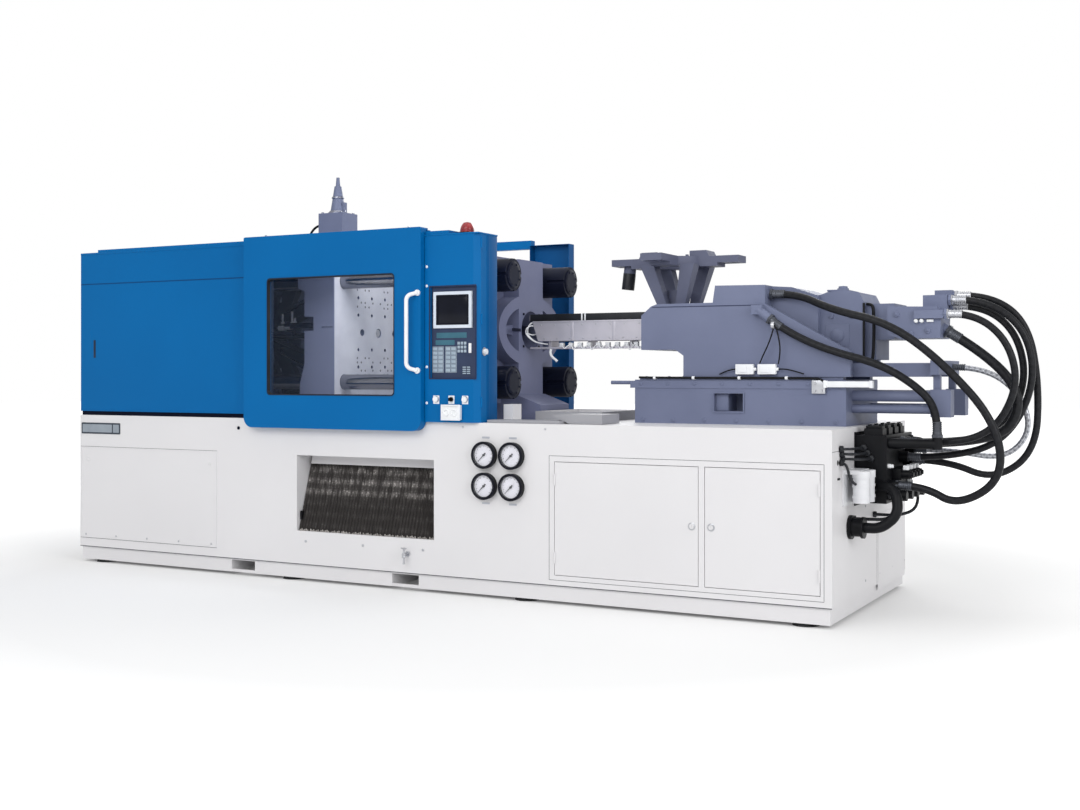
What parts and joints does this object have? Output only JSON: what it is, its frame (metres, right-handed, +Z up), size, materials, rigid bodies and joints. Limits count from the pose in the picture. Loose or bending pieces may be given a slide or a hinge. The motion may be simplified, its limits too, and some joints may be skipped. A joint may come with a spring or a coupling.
{
  "type": "injection moulding machine",
  "caption": "Horizontal injection moulding machine with a toggle clamp behind sliding guard gates, a control column and a hydraulic injection unit on one long base.",
  "frame": {"origin": "floor level, on the machine's vertical middle plane, halfway along its length", "axes": "+X along the machine from the clamp end to the injection end, +Y away from the operator, +Z up"},
  "size_m": [5.6794, 1.69, 2.43],
  "materials": {
    "panel_blue": "satin powder coat",
    "base_white": "satin powder coat",
    "casting_grey": "machine enamel on cast iron",
    "mould_face": "milled face",
    "toggle_navy": "dark machine enamel",
    "bright_steel": "ground and polished",
    "nut_black": "blackened steel",
    "tray_grey": "satin powder coat",
    "hose_rubber": "moulded rubber",
    "hose_silver": "braided sleeve",
    "apron_rubber": "ribbed rubber",
    "clear_pane": "clear sheet",
    "console_dark": "moulded panel",
    "bezel_white": "moulded bezel",
    "gauge_black": "moulded case",
    "needle_white": "enamel",
    "beacon_red": "tinted lens",
    "button_green": "moulded cap",
    "button_red": "moulded cap",
    "steel_dull": "turned steel",
    "cover_silver": "folded sheet",
    "pump_grey": "machine enamel",
    "filter_white": "enamel",
    "foot_black": "moulded pad"
  },
  "bodies": {
    "frame": {"bed_frame": "base_white", "chute_apron": "apron_rubber", "gauge_cases": "gauge_black", "levelling_feet": "foot_black", "pump_motor": "pump_grey", "clamp_cover": "panel_blue", "gate_rails": "steel_dull", "rear_guard": "panel_blue", "control_column": "panel_blue", "console_panel": "console_dark", "screen_frame": "bezel_white", "beacon": "beacon_red", "fixed_platen": "casting_grey", "tie_bars": "bright_steel", "tie_bar_nuts": "nut_black", "rear_platen": "casting_grey", "clamp_cylinder": "toggle_navy", "safety_latch": "panel_blue", "injection_slab": "casting_grey", "rear_guides": "casting_grey", "valve_block": "steel_dull", "oil_filters": "filter_white", "loop_hoses": "hose_rubber", "drop_hose": "hose_rubber", "top_hose": "hose_rubber", "side_hose": "hose_rubber", "drain_hose": "hose_silver"},
    "front_gate": {"front_gate": "panel_blue", "front_gate_pane": "clear_pane", "front_gate_grip": "bright_steel"},
    "rear_gate": {"rear_gate": "panel_blue", "rear_gate_pane": "clear_pane"},
    "cabinet_door_left": {"cabinet_door_left": "base_white"},
    "cabinet_door_right": {"cabinet_door_right": "base_white"},
    "gauge_needle_1": {"gauge_needle_1": "needle_white"},
    "gauge_needle_2": {"gauge_needle_2": "needle_white"},
    "gauge_needle_3": {"gauge_needle_3": "needle_white"},
    "gauge_needle_4": {"gauge_needle_4": "needle_white"},
    "start_button": {"start_button": "button_green"},
    "stop_button": {"stop_button": "button_red"},
    "mode_key": {"mode_key": "bright_steel"},
    "column_latch": {"column_latch": "bezel_white"},
    "moving_platen": {"moving_platen": "casting_grey", "ejector_cylinder": "steel_dull"},
    "crosshead": {"crosshead": "toggle_navy"},
    "rear_link_upper": {"rear_link_upper": "toggle_navy"},
    "rear_link_lower": {"rear_link_lower": "toggle_navy"},
    "front_link_upper": {"front_link_upper": "toggle_navy"},
    "front_link_lower": {"front_link_lower": "toggle_navy"},
    "cross_link_upper": {"cross_link_upper": "toggle_navy"},
    "cross_link_lower": {"cross_link_lower": "toggle_navy"},
    "ejector_rod": {"ejector_rod": "bright_steel"},
    "carriage": {"carriage": "casting_grey", "barrel": "steel_dull", "barrel_cover": "cover_silver", "hopper_stand": "casting_grey", "injection_cylinder": "casting_grey", "hose_block": "casting_grey"},
    "injection_piston": {"injection_piston": "bright_steel"},
    "screw": {"screw": "bright_steel"}
  },
  "joints": [
    {"name": "front_gate_slide", "type": "slide", "parent": "frame", "child": "front_gate", "axis": [-1, 0, 0], "range_m": [0, 1.2]},
    {"name": "rear_gate_slide", "type": "slide", "parent": "frame", "child": "rear_gate", "axis": [-1, 0, 0], "range_m": [0, 0.95]},
    {"name": "door_left_hinge", "type": "hinge", "parent": "frame", "child": "cabinet_door_left", "pos_m": [0.76, -0.7335, 0.445], "axis": [0, 0, -1], "range_deg": [0, 110]},
    {"name": "door_right_hinge", "type": "hinge", "parent": "frame", "child": "cabinet_door_right", "pos_m": [2.15, -0.7335, 0.445], "axis": [0, 0, 1], "range_deg": [0, 110]},
    {"name": "needle_1_turn", "type": "hinge", "parent": "frame", "child": "gauge_needle_1", "pos_m": [0.347, -0.75, 0.597], "axis": [0, 1, 0], "range_deg": [0, 270]},
    {"name": "needle_2_turn", "type": "hinge", "parent": "frame", "child": "gauge_needle_2", "pos_m": [0.511, -0.75, 0.597], "axis": [0, 1, 0], "range_deg": [0, 270]},
    {"name": "needle_3_turn", "type": "hinge", "parent": "frame", "child": "gauge_needle_3", "pos_m": [0.347, -0.75, 0.761], "axis": [0, 1, 0], "range_deg": [0, 270]},
    {"name": "needle_4_turn", "type": "hinge", "parent": "frame", "child": "gauge_needle_4", "pos_m": [0.511, -0.75, 0.761], "axis": [0, 1, 0], "range_deg": [0, 270]},
    {"name": "start_button_press", "type": "slide", "parent": "frame", "child": "start_button", "axis": [0, 1, 0], "range_m": [0, 0.004], "stiffness_N_per_m": 400},
    {"name": "stop_button_press", "type": "slide", "parent": "frame", "child": "stop_button", "axis": [0, 1, 0], "range_m": [0, 0.004], "stiffness_N_per_m": 400},
    {"name": "mode_key_turn", "type": "hinge", "parent": "frame", "child": "mode_key", "pos_m": [0.147, -0.76, 1.054], "axis": [0, 1, 0], "range_deg": [0, 90]},
    {"name": "column_latch_turn", "type": "hinge", "parent": "frame", "child": "column_latch", "pos_m": [0.321, -0.69, 1.309], "axis": [1, 0, 0], "range_deg": [0, 90]},
    {"name": "clamp_stroke", "type": "slide", "parent": "frame", "child": "moving_platen", "axis": [1, 0, 0], "range_m": [0, 0.4849]},
    {"name": "crosshead_slide", "type": "slide", "parent": "frame", "child": "crosshead", "axis": [1, 0, 0], "range_m": [0, 0.4834]},
    {"name": "rear_link_upper_swing", "type": "hinge", "parent": "frame", "child": "rear_link_upper", "pos_m": [-1.572, 0, 1.817], "axis": [0, -1, 0], "range_deg": [0, 101.65]},
    {"name": "rear_link_lower_swing", "type": "hinge", "parent": "frame", "child": "rear_link_lower", "pos_m": [-1.572, 0, 1.067], "axis": [0, 1, 0], "range_deg": [0, 101.65]},
    {"name": "front_link_upper_swing", "type": "hinge", "parent": "moving_platen", "child": "front_link_upper", "pos_m": [-1.20603, 0, 1.692], "axis": [0, 1, 0], "range_deg": [0, 30.33]},
    {"name": "front_link_lower_swing", "type": "hinge", "parent": "moving_platen", "child": "front_link_lower", "pos_m": [-1.20603, 0, 1.192], "axis": [0, -1, 0], "range_deg": [0, 30.33]},
    {"name": "cross_link_upper_swing", "type": "hinge", "parent": "crosshead", "child": "cross_link_upper", "pos_m": [-1.93274, 0, 1.517], "axis": [0, -1, 0], "range_deg": [0, 39.04]},
    {"name": "cross_link_lower_swing", "type": "hinge", "parent": "crosshead", "child": "cross_link_lower", "pos_m": [-1.93274, 0, 1.367], "axis": [0, 1, 0], "range_deg": [0, 39.04]},
    {"name": "ejector_slide", "type": "slide", "parent": "moving_platen", "child": "ejector_rod", "axis": [1, 0, 0], "range_m": [0, 0.14]},
    {"name": "carriage_slide", "type": "slide", "parent": "frame", "child": "carriage", "axis": [1, 0, 0], "range_m": [-0.015, 0.25], "deforming": ["loop_hoses", "drop_hose", "top_hose", "side_hose"]},
    {"name": "injection_slide", "type": "slide", "parent": "carriage", "child": "injection_piston", "axis": [1, 0, 0], "range_m": [0, 0.2]},
    {"name": "screw_turn", "type": "hinge", "parent": "injection_piston", "child": "screw", "pos_m": [0.8, 0, 1.442], "axis": [1, 0, 0], "continuous": true}
  ],
  "couplings": [
    {"joint": "crosshead_slide", "follows": "clamp_stroke", "ratio": 0.9967},
    {"joint": "rear_link_upper_swing", "follows": "clamp_stroke", "rad_per_m": 3.6585},
    {"joint": "front_link_upper_swing", "follows": "clamp_stroke", "rad_per_m": 1.0913},
    {"joint": "cross_link_upper_swing", "follows": "clamp_stroke", "rad_per_m": 1.4048},
    {"joint": "rear_link_lower_swing", "follows": "clamp_stroke", "rad_per_m": 3.6585},
    {"joint": "front_link_lower_swing", "follows": "clamp_stroke", "rad_per_m": 1.0913},
    {"joint": "cross_link_lower_swing", "follows": "clamp_stroke", "rad_per_m": 1.4048}
  ]
}
